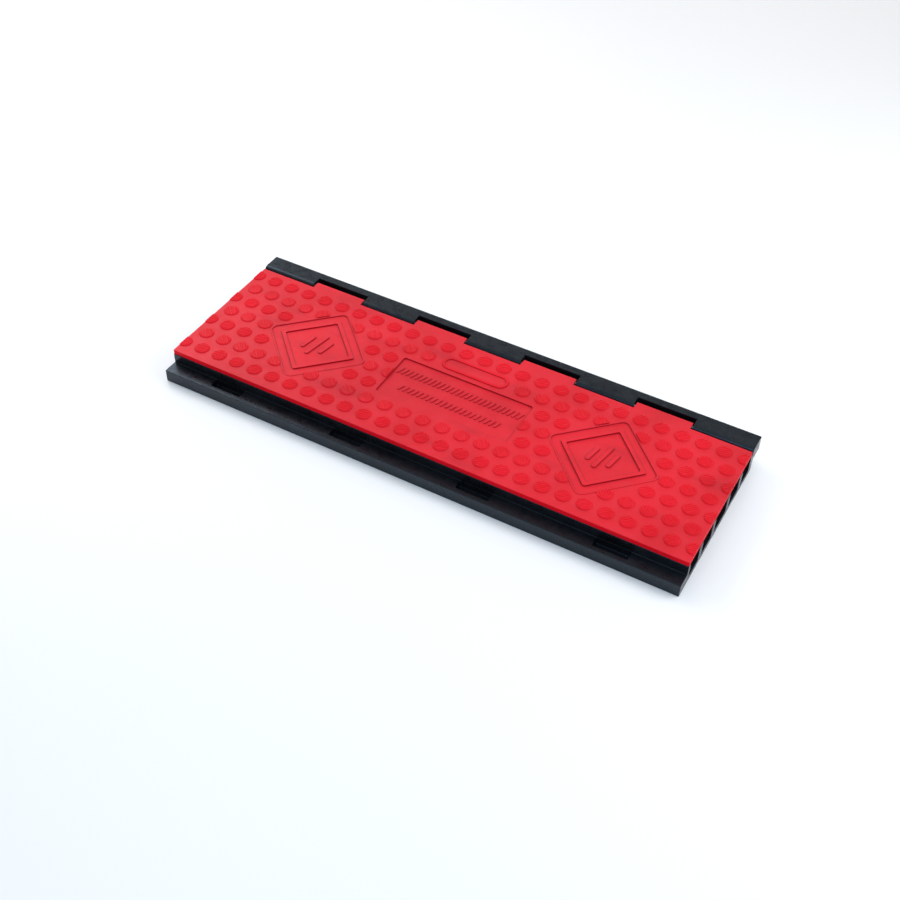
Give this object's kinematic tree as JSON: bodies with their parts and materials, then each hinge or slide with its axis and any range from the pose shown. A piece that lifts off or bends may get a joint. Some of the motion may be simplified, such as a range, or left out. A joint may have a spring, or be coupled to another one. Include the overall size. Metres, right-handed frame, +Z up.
{
  "type": "floor cable protector",
  "caption": "Low rubber floor module with open cable channels along its length, under a studded lid hinged on its back edge.",
  "frame": {"origin": "middle of the footprint's bounding box, on the floor", "axes": "+X along the channels, +Y from the low front ledge to the raised back flange, +Z up"},
  "size_m": [0.9, 0.3186, 0.05],
  "materials": {
    "black_rubber": "matt moulded rubber",
    "red_lid": "satin moulded polyurethane",
    "rod_steel": "drawn bar"
  },
  "bodies": {
    "base": {"base": "black_rubber", "hinge_rod": "rod_steel"},
    "lid": {"lid": "red_lid"}
  },
  "joints": [
    {"name": "lid_hinge", "type": "hinge", "parent": "base", "child": "lid", "pos_m": [0, 0.13075, 0.043], "axis": [-1, 0, 0], "range_deg": [0, 100]}
  ]
}
